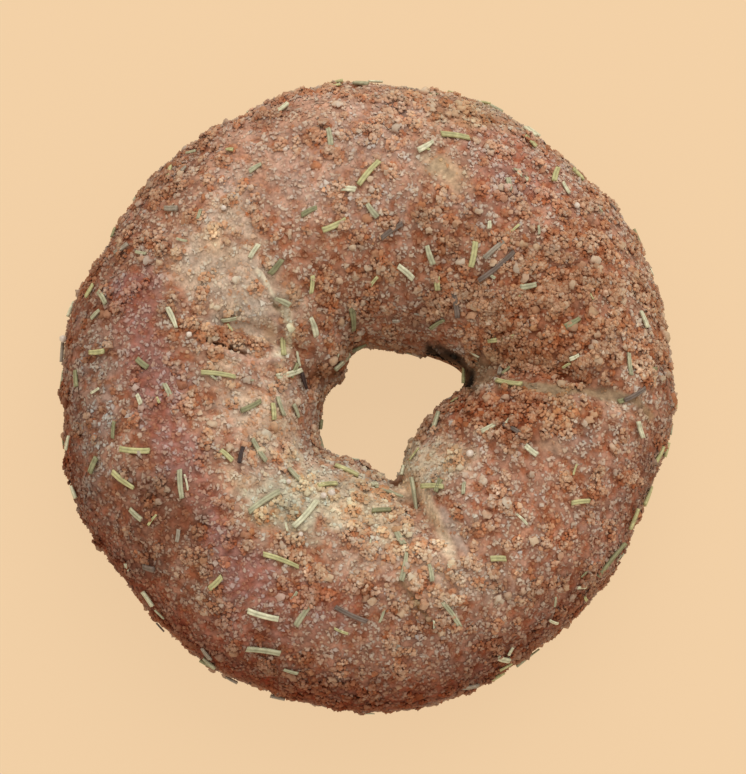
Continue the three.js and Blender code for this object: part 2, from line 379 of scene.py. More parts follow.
# Blotches: the size of each noise's and its seed.
WOBBLE = 0.7
WOBBLE_BLOTCHES = ((6, 70), (3, 71), (1.4, 72))
MOTTLE_LIGHT = 0.25
LIGHT_BLOTCHES = ((4.5, 81), (2.2, 82))
MOTTLE_WARM = np.array([0.05, -0.04, -0.15])
WARM_BLOTCHES = ((6, 83), (2.6, 84))


def linear(colour):
    """A linear colour from sRGB numbers, 0 to 255."""
    share = np.asarray(colour, float) / 255
    return np.where(share <= 0.04045, share / 12.92, ((share + 0.055) / 1.055) ** 2.4)


def patch_weight(points, mark, wobble):
    """How much a patch counts at each point: 1 in its middle, 0 well outside its wobbly edge."""
    heading = math.radians(mark["heading"])
    dx = points[..., 0] - mark["at"][0]
    dy = points[..., 1] - mark["at"][1]
    along = (dx * math.cos(heading) + dy * math.sin(heading)) / mark["half"][0]
    aside = (dy * math.cos(heading) - dx * math.sin(heading)) / mark["half"][1]
    return 1 - smoothstep(np.hypot(along, aside) + wobble, *PATCH_EDGE)


def stroke_weight(points, mark, wobble):
    """How much a stroke counts at each point: 1 along its path, 0 well beside it."""
    nearest = np.full(points.shape[:-1], np.inf)
    for start, end in zip(mark["path"], mark["path"][1:]):
        run = np.subtract(end, start)
        offset = points[..., :2] - start
        share = np.clip(offset @ run / (run @ run), 0, 1)
        beside = np.linalg.norm(offset - share[..., None] * run, axis=-1)
        nearest = np.minimum(nearest, beside)
    return 1 - smoothstep(nearest / mark["half"] + wobble, *STROKE_EDGE)


def marks_at(points):
    """Every mark with its weight at each point, those that lie over others last."""
    wobble = WOBBLE * mottled(points, WOBBLE_BLOTCHES)
    on_top = topped(points)
    weighted = []
    for mark in MARKS.values():
        weigh = stroke_weight if "path" in mark else patch_weight
        reach = 1 if mark.get("through") else on_top
        weighted.append((mark, reach * weigh(points, mark, wobble)))
    return weighted


def blended(marks, kind):
    """A share that is usually 1, such as how thickly crumbs lie, changed by the marks."""
    share = np.ones(marks[0][1].shape)
    for mark, weight in marks:
        share = lerp(share, mark.get(kind, 1), weight)
    return share


def painted(points, marks):
    """The crust's average colour, from the marks and a mottling of all."""
    colour = np.broadcast_to(linear(CRUST), points.shape).copy()
    for mark, weight in marks:
        colour += weight[..., None] * (linear(mark["colour"]) - colour)
    light = mottled(points, LIGHT_BLOTCHES)[..., None]
    warm = mottled(points, WARM_BLOTCHES)[..., None]
    return colour * (1 + MOTTLE_LIGHT * light + warm * MOTTLE_WARM)


# Low on the outer slope the crust is darker and redder, most towards the front left: partly a deeper bake
# and partly painted shade on the side turned away from the lamp. Its waist below is paler again.
BAKE_SHADE_FROM = 38
BAKE_SHADE_FULL = 20
BAKE_SHADE_OUTSIDE = (30, 42)
BAKE_SHADE_MOST = 245  # the direction that is darkened most, turned away from the lamp
BAKE_SHADE_SHARE = 0.5
BAKE_SHADE_SWING = 0.48
BAKE_SHADE_DOUGH_TINT = np.array([0.42, 0.1, 0.04])
BAKE_SHADE_CRUMB_TINT = np.array([0.43, 0.2, 0.13])
WAIST_FROM = 24
WAIST_FULL = 10
WAIST_SHARE = 0.3


def baked_and_shaded(points, tint):
    """Factor by which the slope's bake and painted shade darken each colour."""
    low = smoothstep(points[..., 2], BAKE_SHADE_FROM, BAKE_SHADE_FULL)
    low *= lerp(1, WAIST_SHARE, smoothstep(points[..., 2], WAIST_FROM, WAIST_FULL))
    outside = smoothstep(np.hypot(points[..., 0], points[..., 1]), *BAKE_SHADE_OUTSIDE)
    turned = np.arctan2(points[..., 1], points[..., 0]) - math.radians(BAKE_SHADE_MOST)
    share = low * outside * (BAKE_SHADE_SHARE + BAKE_SHADE_SWING * np.cos(turned))
    return 1 - share[..., None] * (1 - tint)


def ground_colour(points, marks):
    """The colour of the dough between crumbs: like the average where there are none."""
    strength = blended(marks, "contrast") * np.minimum(blended(marks, "fine"), 1)
    ground = painted(points, marks) * lerp(1, DOUGH_TINT, strength[..., None])
    # darker low on the slope: a deeper bake and painted shade
    return ground * baked_and_shaded(points, BAKE_SHADE_DOUGH_TINT)


def crumb_colour(points, marks, own=0):
    """The colour of crumbs there, drawn towards the usual crust's by a share of their own."""
    strength = blended(marks, "contrast")[..., None]
    crumbs = lerp(painted(points, marks), linear(CRUST), own) * lerp(1, CRUMB_TINT, strength)
    # darker low on the slope: a deeper bake and painted shade
    return crumbs * baked_and_shaded(points, BAKE_SHADE_CRUMB_TINT)


# ---- Meshes ----


def add_piece(name, points, faces, colours, material, slot, normals=None):
    """A mesh piece from millimetre points, with a linear colour for each point, on the bagel's body."""
    mesh = bpy.data.meshes.new(name)
    corners = faces.shape[1]
    mesh.vertices.add(len(points))
    mesh.vertices.foreach_set("co", (points * MM).astype(np.float32).ravel())
    mesh.loops.add(faces.size)
    mesh.loops.foreach_set("vertex_index", faces.astype(np.int32).ravel())
    mesh.polygons.add(len(faces))
    mesh.polygons.foreach_set("loop_start", np.arange(len(faces), dtype=np.int32) * corners)
    mesh.polygons.foreach_set("use_smooth", np.full(len(faces), True))
    mesh.update(calc_edges=True)
    tone = mesh.attributes.new("tone", "FLOAT_COLOR", "POINT")
    opaque = np.concatenate([np.clip(colours, 0, 1), np.ones((len(points), 1))], axis=1)
    tone.data.foreach_set("color", opaque.astype(np.float32).ravel())
    mesh.validate()
    if normals is not None:
        mesh.normals_split_custom_set_from_vertices(normals.astype(np.float32))
    mesh.materials.append(material)
    piece = bpy.data.objects.new(name, mesh)
    bpy.context.scene.collection.objects.link(piece)
    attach(piece, "root")
    return piece


def add_copies(name, points, faces, colours, material, slot, normals=None):
    """One piece of many bodies that share their faces, with points, colours and normals body by body."""
    total, corners = points.shape[:2]
    every_face = faces + (np.arange(total) * corners)[:, None, None]
    flat = [values.reshape(-1, 3) for values in (points, every_face, colours)]
    if normals is not None:
        normals = normals.reshape(-1, 3)
    add_piece(name, *flat, material, slot, normals)


def quads(here, there):
    """Faces between two grids of point numbers, whose rows close on themselves."""
    faces = np.stack([here, there, np.roll(there, -1, axis=1), np.roll(here, -1, axis=1)], axis=-1)
    return faces.reshape(-1, 4)


def unit(vectors):
    return vectors / np.linalg.norm(vectors, axis=-1, keepdims=True)


# ---- The dough ----

RING_STEPS = 640
TOPPED_STEPS = 124
UNDERSIDE_STEPS = 31
TOPPED_SECTION = (-0.14 * math.pi, 1.14 * math.pi)

# The crust's own forms: how wide and how high each is.
CRUST_SEED = 5
BROAD_ACROSS = 6.5
BROAD_HEIGHT = 0.6
LUMPS_ACROSS = 2.8
LUMPS_HEIGHT = 0.7
GRANULES_ACROSS = 2.2
CLUMPS_ACROSS = 1.4
CRUMBS_ACROSS = 0.8
CRUMB_EDGES = (0.3, 0.7)
GRANULES_SHARE = 0.35
CLUMPS_SHARE = 0.35
CRUMBS_SHARE = 0.3
GRAINS_HEIGHT = 0.9  # of granules, clumps and crumbs together
HEAPS_SUNK = 0.45  # so that heaps lie about the solid's surface and not on it
RELIEF_FULL = 4  # relief fades out between this level and the table

# Under its crumbs the dough lies lower, and most so under granules.
BED_SUNK = 0.05
BED_SUNK_GRAINS = 0.2
DUSTED_GRAINS = (0.15, 0.5)
DUSTED_SHARE = 0.25

SIDE_FROM = 23
SIDE_FULL = 9
SIDE_DOUGH = (162, 116, 82)
UNDERSIDE_FROM = 3.5
UNDERSIDE_FULL = 1
UNDERSIDE_DOUGH = (158, 108, 70)


def crust_relief(points, marks):
    """Height of the crust's own lumps and granules in millimetres, and the granules' share of it."""
    clumps = smoothstep(mottle(points, CLUMPS_ACROSS, CRUST_SEED + 10), *CRUMB_EDGES)
    crumbs = smoothstep(mottle(points, CRUMBS_ACROSS, CRUST_SEED + 11), *CRUMB_EDGES)
    grains = GRANULES_SHARE * granules(points, GRANULES_ACROSS, CRUST_SEED)
    grains = grains + CLUMPS_SHARE * clumps + CRUMBS_SHARE * crumbs
    broad = mottle(points, BROAD_ACROSS, CRUST_SEED + 20) - 0.5
    lumps = mottle(points, LUMPS_ACROSS, CRUST_SEED + 21) - 0.5
    heaps = GRAINS_HEIGHT * grains + LUMPS_HEIGHT * lumps - HEAPS_SUNK
    heaps *= heaped(points) * blended(marks, "heaped")
    raised = sum(mark.get("rise", 0) * weight for mark, weight in marks)
    height = BROAD_HEIGHT * broad + heaps + raised
    return height * smoothstep(points[..., 2], 0, RELIEF_FULL), grains


def dough_colour(points, marks, grains):
    """The dough's colour: dusted with crumbs above, plain at the waist, browned underneath."""
    level = points[..., 2]
    colours = ground_colour(points, marks)
    waist = smoothstep(level, SIDE_FROM, SIDE_FULL)[..., None]
    colours += waist * (linear(SIDE_DOUGH) - colours)
    underside = smoothstep(level, UNDERSIDE_FROM, UNDERSIDE_FULL)[..., None]
    colours += underside * (linear(UNDERSIDE_DOUGH) - colours)
    dusted = DUSTED_SHARE * smoothstep(grains, *DUSTED_GRAINS) * blended(marks, "fine") * topped(points)
    return colours + dusted[..., None] * (crumb_colour(points, marks) - colours)


def make_dough(material):
    start, end = TOPPED_SECTION
    over = np.linspace(start, end, TOPPED_STEPS, endpoint=False)
    under = np.linspace(end, start + 2 * math.pi, UNDERSIDE_STEPS, endpoint=False)
    turns = np.linspace(0, 2 * math.pi, RING_STEPS, endpoint=False)
    around, section = np.meshgrid(turns, np.concatenate([over, under]), indexing="ij")
    points = dough_point(around, section)
    normals, _ = normal_of(dough_point, around, section)
    marks = marks_at(points)
    relief, grains = crust_relief(points, marks)
    colours = dough_colour(points, marks, grains)
    raised = relief - BED_SUNK - BED_SUNK_GRAINS * grains
    points = points + normals * raised[..., None]
    points[..., 2] = np.maximum(points[..., 2], 0)
    index = np.arange(around.size).reshape(around.shape)
    faces = quads(index, np.roll(index, -1, axis=0))
    piece = add_piece("dough", points.reshape(-1, 3), faces, colours.reshape(-1, 3), material, "crust")
    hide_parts("bagel")


# ---- Places on the crust ----

TRIES_EACH = 6
STREWN_SECTION = (-0.12 * math.pi, 1.08 * math.pi)
GATHERED_BLOTCHES = ((7, 61), (2.8, 62))
GATHERED_EDGES = (-0.15, 0.25)
CLUMPS_MERGE = 0.3
CLUMP_SEED = 9
CLUMP_VARIETY = 0.3
CLUMP_SIZES = (0.4, 1.45)
CLUMP_FILLING = (0.7, 1)
CLUMP_LIGHT = 0.1
# Crumbs low in a clump are darker and redder: painted shade at the clump's foot.
CLUMP_FOOT_SHADE = np.array([0.94, 0.68, 0.54])


def scattered(count, kind, draw):
    """Random places on the dough, spread by area and by how thickly that kind of crumb lies."""
    tries = count * TRIES_EACH
    around = draw.uniform(0, 2 * math.pi, tries)
    section = draw.uniform(*STREWN_SECTION, tries)
    points = dough_point(around, section)
    normals, area = normal_of(dough_point, around, section)
    cover = blended(marks_at(points), kind)
    chance = area * topped(points) * cover
    if kind == "coarse":
        gathered = mottled(points, GATHERED_BLOTCHES) + CLUMPS_MERGE * (cover - 1)
        chance *= smoothstep(gathered, *GATHERED_EDGES)
    kept = np.flatnonzero(draw.uniform(0, chance.max(), tries) < chance)[:count]
    return points[kept], normals[kept]


def clumped(count, kind, clumps, reach, heap, draw):
    """Places in low round clumps, with how light each is: by its clump, and the higher the lighter, which
    paints shade low in each clump.
    """
    # All kinds of crumb share the clumps' places and sizes.
    middles, upright = scattered(clumps, kind, np.random.default_rng(CLUMP_SEED))
    varied_size = np.random.default_rng(CLUMP_SEED).lognormal(0, CLUMP_VARIETY, len(middles))
    size = varied_size.clip(*CLUMP_SIZES)
    owner = draw.choice(len(middles), count, p=size**2 / (size**2).sum())
    normals = upright[owner]
    aside, _ = tangents_of(normals, draw)
    outward = np.sqrt(draw.uniform(0, 1, count))
    centres = middles[owner] + aside * (outward * size[owner] * reach)[:, None]
    high = (1 - outward**2) * draw.uniform(*CLUMP_FILLING, count)
    centres = centres + normals * (high * heaped(centres) * size[owner] * heap)[:, None]
    clump_light = draw.lognormal(0, CLUMP_LIGHT, (len(middles), 1))
    return centres, normals, lerp(CLUMP_FOOT_SHADE, 1, high[:, None]) * clump_light[owner]


def tangents_of(normals, draw):
    """Two tangents for each normal, turned at random."""
    first = unit(np.cross(normals, draw.normal(size=normals.shape)))
    return first, np.cross(normals, first)


def tumbled(blank, count, draw):
    """Copies of a blank's corners, each turned at random in space."""
    w, x, y, z = draw.normal(size=(4, count))
    length = w * w + x * x + y * y + z * z
    turns = np.array([
        [length - 2 * (y * y + z * z), 2 * (x * y - z * w), 2 * (x * z + y * w)],
        [2 * (x * y + z * w), length - 2 * (x * x + z * z), 2 * (y * z - x * w)],
        [2 * (x * z - y * w), 2 * (y * z + x * w), length - 2 * (x * x + y * y)],
    ]) / length
    return np.einsum("ijn,kj->nki", turns, blank)


# ---- Crumbs ----


def tetrahedron():
    """The smallest closed blank, about 1 across."""
    half = 0.36
    points = np.array([[1, 1, 1], [1, -1, -1], [-1, 1, -1], [-1, -1, 1]]) * half
    return points, np.array([[0, 1, 2], [0, 3, 1], [0, 2, 3], [1, 3, 2]])


def bipyramid(sides):
    """A closed crumb blank, 1 across: a ring of corners between two tips."""
    turn = np.arange(sides) * 2 * math.pi / sides
    ring = np.stack([np.cos(turn), np.sin(turn), np.zeros(sides)], axis=-1) * 0.5
    points = np.concatenate([ring, [[0, 0, 0.5], [0, 0, -0.5]]])
    low = np.arange(sides)
    high = (low + 1) % sides
    upper = np.stack([low, high, np.full(sides, sides)], axis=-1)
    lower = np.stack([high, low, np.full(sides, sides + 1)], axis=-1)
    return points, np.concatenate([upper, lower])


def ball(levels):
    """A closed crumb blank, 1 across, from an icosahedron."""
    made = bmesh.new()
    bmesh.ops.create_icosphere(made, subdivisions=levels, radius=0.5)
    points = np.array([v.co[:] for v in made.verts])
    faces = np.array([[v.index for v in f.verts] for f in made.faces])
    made.free()
    return points, faces


# Crumbs: blank, how many, least and greatest size, height of their middles above the crust, which
# cover they follow, how soft their shading is (1: like the dough's) and their tint. Those in clumps
# also have the number of clumps, their radius and their height.
ORANGE = (1.02, 0.98, 0.91)
UNTINTED = (1, 1, 1)
CRUMB_KINDS = {
    "grit": dict(blank=tetrahedron(), count=26000, across=(0.5, 0.85), raised=-0.1, kind="fine", soft=0.85),
    "crumbs_fine": dict(
        blank=bipyramid(5), count=16000, across=(0.6, 1.15), raised=-0.08, kind="fine", soft=0.74
    ),
    "crumbs_small": dict(
        blank=bipyramid(5), count=19500, across=(0.5, 1.05), raised=0.1, kind="coarse", soft=0.62,
        tint=ORANGE, clumps=(2400, 0.95, 0.75),
    ),
    "crumbs_medium": dict(
        blank=ball(1), count=9500, across=(0.65, 1.25), raised=-0.05, kind="coarse", soft=0.5,
        tint=ORANGE, clumps=(2400, 0.95, 0.4),
    ),
    "crumbs_large": dict(
        blank=ball(2), count=500, across=(1.1, 2.0), raised=0.1, kind="coarse", soft=0.2, tint=ORANGE
    ),
}
CRUMB_SEED = 101
RIM_SUNK = 0.25  # crumbs lie this much deeper low on the rim
CRUMB_SMALLNESS = (1.2, 2.4)
CRUMB_HEIGHT = 0.85
CRUMB_ROUGH = 0.08
CRUMB_ROUGH_MOST = 1.5
CRUMB_LOBES = 0.42
CRUMB_LOBES_ACROSS = 3.4
CRUMB_LOBE_EDGES = (0.2, 0.8)
CRUMB_LOBE_ROOM = 900  # each crumb has its lobes from elsewhere in the noise, within this room
# Crumbs are darker and redder in the hollows between their lobes: painted shade.
CRUMB_HOLLOW_SHADE = np.array([0.96, 0.84, 0.76])
# Where a crumb's colour turns from the ground's at its foot to its own above: the crumb blends into the
# crust, and its foot carries painted shade.
CRUMB_TOP = (-0.25, 0.35)
CRUMBS_OWN = 0.6  # the most that a crumb is drawn towards the usual crust's colour
CRUMB_LIGHT_SPREAD = 0.04
CRUMB_HUE_SPREAD = 0.06
CRUMB_HUE = np.array([0.4, -0.2, -1.0])
# Crumbs low between the crust's granules are darker and redder: painted shade in the pits.
PIT_SHADE_GRAINS = (0.1, 0.65)
PIT_SHADE_TINT = np.array([0.78, 0.47, 0.34])


def lobed(blank, total, seed, draw):
    """Tumbled, rough and lobed copies of a blank's corners, and how far each is out of a hollow."""
    shape = tumbled(blank, total, draw)
    rough = draw.normal(size=(total, len(blank), 1)).clip(-CRUMB_ROUGH_MOST, CRUMB_ROUGH_MOST)
    shape *= 1 + CRUMB_ROUGH * rough
    places = shape * CRUMB_LOBES_ACROSS + draw.uniform(0, CRUMB_LOBE_ROOM, (total, 1, 3))
    lobes = smoothstep(mottle(places, 1, seed), *CRUMB_LOBE_EDGES)[..., None]
    return shape * (1 + CRUMB_LOBES * (2 * lobes - 1)), lobes


def crumb_tones(centres, marks, grains, kind, draw):
    """A tone for each crumb: partly the usual crust's, darker and redder in pits by painted shade, and
    varied by chance.
    """
    total = len(centres)
    like_all = np.minimum(blended(marks, kind), 1) * blended(marks, "contrast") ** 2
    own = draw.uniform(0, CRUMBS_OWN, (total, 1)) * like_all[:, None]
    tones = crumb_colour(centres, marks, own)
    tones *= lerp(PIT_SHADE_TINT, 1, smoothstep(grains, *PIT_SHADE_GRAINS)[:, None])
    tones *= draw.lognormal(0, CRUMB_LIGHT_SPREAD, (total, 1))
    return tones * (1 + draw.normal(0, CRUMB_HUE_SPREAD, (total, 1)) * CRUMB_HUE)


def make_crumbs(
    name, material, seed, *, blank, count, across, raised, kind, soft, tint=UNTINTED, clumps=None
):
    """One kind of crumb, strewn over the crust as one piece."""
    draw = np.random.default_rng(seed)
    if clumps:
        centres, normals, light = clumped(count, kind, *clumps, draw)
    else:
        centres, normals = scattered(count, kind, draw)
        light = 1
    corners, faces = blank
    total = len(centres)
    marks = marks_at(centres)
    relief, grains = crust_relief(centres, marks)
    size = lerp(*across, draw.beta(*CRUMB_SMALLNESS, total))
    shape, lobes = lobed(corners, total, seed, draw)
    axes = np.stack([*tangents_of(normals, draw), normals], axis=1)
    turned = np.einsum("nkj,nji->nki", shape * size[:, None, None] * [1, 1, CRUMB_HEIGHT], axes)
    lift = relief + raised - RIM_SUNK * (1 - heaped(centres))
    points = turned + (centres + lift[:, None] * normals)[:, None]
    outward = unit(np.einsum("nkj,nji->nki", shape, axes))
    outward = unit(lerp(outward, normals[:, None], soft))
    # light: each clump's own tone, with painted shade low in the clump
    tones = crumb_tones(centres, marks, grains, kind, draw) * tint * light
    # A crumb's lower corners take the darker ground's colour: painted shade at its foot, blending it into
    # the crust.
    tops = smoothstep(shape[..., 2], *CRUMB_TOP)[..., None]
    colours = lerp(ground_colour(centres, marks)[:, None], tones[:, None], tops)
    # painted shade in each crumb's hollows
    colours *= lerp(CRUMB_HOLLOW_SHADE, 1, lobes)
    add_copies(name, points, faces, colours, material, "crumbs", outward)


# ---- Rosemary ----

# Half of a needle's section, from its grooved top round its edge to below, as shares of its width
# and thickness, with how light each line is. The other half mirrors it.
NEEDLE_HALF = [
    (0.0, 0.32, 0.7),
    (0.12, 0.42, 0.9),
    (0.28, 0.46, 1.05),
    (0.47, 0.2, 1.0),
    (0.42, -0.25, 0.85),
    (0.16, -0.46, 0.75),
]
NEEDLE_SECTION = np.array(NEEDLE_HALF + [(-x, z, light) for x, z, light in NEEDLE_HALF[:0:-1]])
NEEDLE_STEPS = 8
NEEDLE_WIDTHS = (0.75, 1.0)
NEEDLE_FLATTENED = 0.8
NEEDLE_RISE = 0.42
NEEDLE_TAPER = 0.4
NEEDLE_TAPERED = (-0.1, 0.5)
NEEDLE_LEAN = 0.05
NEEDLE_SLANT = 0.35
NEEDLE_LIGHT_SPREAD = 0.1
NEEDLE_LIGHT_HUE = np.array([1.0, 1.0, 1.1])
# Each tone and its share of the strewn needles and scraps.
NEEDLE_TONES = {
    "pale": ((202, 202, 172), 0.26),
    "sage": ((168, 168, 138), 0.3),
    "lime": ((182, 180, 130), 0.24),
    "green": ((138, 138, 102), 0.1),
    "grey": ((152, 142, 126), 0.05),
    "dark": ((112, 98, 88), 0.05),
    "black": ((62, 46, 42), 0),
}
BITS_STREWN = 110
BIT_SEED = 77
BIT_RISE = 0.45
BIT_LENGTHS = (1.2, 3.0)
BIT_WIDTHS = (0.35, 0.95)
BIT_FLATNESS = 0.7
# Scraps that show most: place in plan, heading, length and tone.
PLACED_BITS = [
    (-11.5, 1, -50, 3.2, "black"), (24.5, -8.5, -30, 3.5, "dark"), (-15.5, -4, -65, 3.5, "sage"),
    (-13, -4.5, -50, 2.5, "sage"), (-10, 17, 90, 3.2, "lime"), (12, 11, 50, 3.5, "green"),
    (-24, 11, 10, 3, "sage"), (-22, -13, 75, 3, "black"),
]
PLACED_BIT_WIDTH = 0.8
PLACED_BIT_THICKNESS = 0.6


def seeded_draws(seed):
    """The solid's own generator of numbers from 0 to 1 (mulberry32)."""
    state = seed
    while True:
        state = (state + 0x6D2B79F5) & WORD
        mixed = ((state ^ (state >> 15)) * (state | 1)) & WORD
        mixed ^= (mixed + (((mixed ^ (mixed >> 7)) * (mixed | 61)) & WORD)) & WORD
        yield ((mixed ^ (mixed >> 14)) & WORD) / (WORD + 1)


def spot_at(around, section):
    """The point of the dough's surface there, and its normal."""
    around = np.array(around)
    section = np.array(section)
    normal, _ = normal_of(dough_point, around, section)
    return dough_point(around, section), normal


def needle_at(around, section, heading, length, tone=None):
    """One needle: where it lies on the dough, its heading in plan, its length and tone."""
    centre, normal = spot_at(around, section)
    return dict(centre=centre, normal=normal, heading=heading, length=length, tone=tone)


def strewn_needles():
    """The placed needles, then those strewn by the solid's rule."""
    needles = [needle_at(*surface_above(x, y), *rest) for x, y, *rest in PLACED_NEEDLES]
    draws = seeded_draws(NEEDLE_SEED)
    placed = len(needles)
    while len(needles) < placed + NEEDLES_STREWN:
        around = next(draws) * 2 * math.pi
        section = lerp(*NEEDLES_OVER, next(draws)) * math.pi
        keep = next(draws) * OUTER_RADIUS
        heading = next(draws) * 180
        share_done = (len(needles) - placed) / NEEDLES_STREWN
        length = lerp(NEEDLE_LONGEST, NEEDLE_SHORTEST, math.sqrt(share_done))
        made = needle_at(around, section, heading, length)
        clear = all(np.linalg.norm(n["centre"] - made["centre"]) > NEEDLE_SPACING for n in needles)
        if clear and keep < math.hypot(*made["centre"][:2]):
            needles.append(made)
    return needles


def needle_faces():
    """Triangles of a needle: its walls, then both ends."""
    sides = len(NEEDLE_SECTION)
    index = np.arange(NEEDLE_STEPS * sides).reshape(NEEDLE_STEPS, sides)
    walls = quads(index[:-1], index[1:])
    fan = np.arange(1, sides - 1)
    start = np.stack([np.zeros_like(fan), fan, fan + 1], axis=-1)
    end = (NEEDLE_STEPS - 1) * sides + start[:, ::-1]
    return np.concatenate([walls[:, [0, 1, 2]], walls[:, [0, 2, 3]], start, end])


def needle_points(needle, side, width, thickness, rise, draw):
    """Points of a grooved rod, bowed to one side, narrower at one end, leaning, cut at a slant."""
    heading = math.radians(needle["heading"])
    normal = needle["normal"]
    length = needle["length"]
    along = np.array([math.cos(heading), math.sin(heading), 0])
    along = unit(along - normal * (along @ normal))
    across = np.cross(along, normal)
    section_x, section_z, _ = NEEDLE_SECTION.T
    share = np.linspace(-0.5, 0.5, NEEDLE_STEPS)[:, None]
    taper = 1 - NEEDLE_TAPER * draw.uniform(0, 1) ** 3 * smoothstep(share, *NEEDLE_TAPERED)
    lean = draw.normal(0, NEEDLE_LEAN)
    slant = draw.uniform(-NEEDLE_SLANT, NEEDLE_SLANT)
    x = section_x * width * taper + side * NEEDLE_BEND * length * (4 * share**2 - 1)
    y = share * length + section_x * width * slant * np.abs(2 * share)
    z = section_z * thickness * taper + rise + lean * share * length
    points = needle["centre"] + y[..., None] * along + x[..., None] * across + z[..., None] * normal
    return points.reshape(-1, 3)


def needle_colours(tone, draw):
    """Colours of a needle's points, in a drawn tone where none is given, its cut ends plain."""
    shares = [share for _, share in NEEDLE_TONES.values()]
    drawn = list(NEEDLE_TONES)[draw.choice(len(shares), p=shares)]
    colour, _ = NEEDLE_TONES[tone or drawn]
    light = NEEDLE_SECTION[:, 2] * draw.lognormal(0, NEEDLE_LIGHT_SPREAD, (NEEDLE_STEPS, 1))
    light[[0, -1]] = 1
    return (linear(colour) * light[..., None] ** NEEDLE_LIGHT_HUE).reshape(-1, 3)


def needle_body(needle, index, draw, *size):
    """Points and colours of a needle, bowed to the other side than its neighbours in the list."""
    side = 1 if index % 2 else -1
    return needle_points(needle, side, *size, draw), needle_colours(needle["tone"], draw)


def add_needles(name, bodies, material):
    points, colours = (np.stack(values) for values in zip(*bodies))
    add_copies(name, points, needle_faces(), colours, material, "rosemary")


def make_needles(material):
    draw = np.random.default_rng(NEEDLE_SEED)
    bodies = []
    for index, needle in enumerate(strewn_needles()):
        width = NEEDLE_WIDTH * draw.uniform(*NEEDLE_WIDTHS)
        thickness = NEEDLE_THICKNESS * NEEDLE_FLATTENED
        bodies.append(needle_body(needle, index, draw, width, thickness, NEEDLE_RISE))
    add_needles("rosemary_needles", bodies, material)


def make_bits(material):
    """Short and thin scraps of rosemary between the needles: those that show most, then strewn ones."""
    draw = np.random.default_rng(BIT_SEED)
    bodies = []
    for index, (x, y, *rest) in enumerate(PLACED_BITS):
        bit = needle_at(*surface_above(x, y), *rest)
        size = (PLACED_BIT_WIDTH, PLACED_BIT_THICKNESS, BIT_RISE)
        bodies.append(needle_body(bit, index, draw, *size))
    for index, (centre, normal) in enumerate(zip(*scattered(BITS_STREWN, "fine", draw))):
        heading = draw.uniform(0, 180)
        length = draw.uniform(*BIT_LENGTHS)
        width = draw.uniform(*BIT_WIDTHS)
        bit = dict(centre=centre, normal=normal, heading=heading, length=length, tone=None)
        bodies.append(needle_body(bit, index, draw, width, width * BIT_FLATNESS, BIT_RISE))
    add_needles("rosemary_bits", bodies, material)


# ---- Salt: the grains that show most, in plan, and how many more are strewn ----

PLACED_SALT = [(-14, -17.5), (-8, -20), (36, 31), (-25, 30), (-31, 8)]
SALT_STREWN = 4
SALT_ACROSS = (0.9, 1.5)
SALT_CUBE_HALF = 0.4
SALT_CUBED = 0.6
SALT_RISE = 0.55
SALT_TONE = (216, 204, 190)
SALT_LIGHT_SPREAD = 0.06
SALT_SEED = 31


def make_salt(material):
    """A few pale coarse grains of salt, their form between a ball and a cube."""
    draw = np.random.default_rng(SALT_SEED)
    centres, normals = zip(*[spot_at(*surface_above(x, y)) for x, y in PLACED_SALT])
    strewn, upright = scattered(SALT_STREWN, "fine", draw)
    centres = np.concatenate([centres, strewn])
    normals = np.concatenate([normals, upright])
    relief, _ = crust_relief(centres, marks_at(centres))
    corners, faces = ball(2)
    total = len(centres)
    cube = corners / np.abs(corners).max(axis=-1, keepdims=True) * SALT_CUBE_HALF
    shape = tumbled(lerp(corners, cube, SALT_CUBED), total, draw)
    shape *= draw.uniform(*SALT_ACROSS, (total, 1, 1))
    lift = np.maximum(relief, 0) + SALT_RISE
    points = shape + (centres + normals * lift[:, None])[:, None]
    colours = linear(SALT_TONE) * draw.lognormal(0, SALT_LIGHT_SPREAD, (total, len(corners), 1))
    add_copies("salt_grains", points, faces, colours, material, "salt")


# ---- Materials ----

NOISE_EDGES = (0.3, 0.7)


def noise_node(tree, scale, detail):
    """Noise in object coordinates: so many blotches to the metre."""
    place = tree.nodes.new("ShaderNodeTexCoord")
    made = tree.nodes.new("ShaderNodeTexNoise")
    made.inputs["Scale"].default_value = scale
    made.inputs["Detail"].default_value = detail
    tree.links.new(place.outputs["Object"], made.inputs["Vector"])
    return made.outputs["Fac"]


def varied(tree, colour, noise, low, high):
    """A colour made darker and lighter by a factor that follows noise."""
    spread = tree.nodes.new("ShaderNodeMapRange")
    spread.inputs["From Min"].default_value = NOISE_EDGES[0]
    spread.inputs["From Max"].default_value = NOISE_EDGES[1]
    spread.inputs["To Min"].default_value = low
    spread.inputs["To Max"].default_value = high
    tree.links.new(noise, spread.inputs["Value"])
    mix = tree.nodes.new("ShaderNodeVectorMath")
    mix.operation = "SCALE"
    tree.links.new(colour, mix.inputs[0])
    tree.links.new(spread.outputs["Result"], mix.inputs["Scale"])
    return mix.outputs["Vector"]


def bumped(tree, surface, noise, distance, strength):
    """Fine bumps that follow noise, this many millimetres high."""
    bump = tree.nodes.new("ShaderNodeBump")
    bump.inputs["Distance"].default_value = distance * MM
    bump.inputs["Strength"].default_value = strength
    tree.links.new(noise, bump.inputs["Height"])
    tree.links.new(bump.outputs["Normal"], surface.inputs["Normal"])


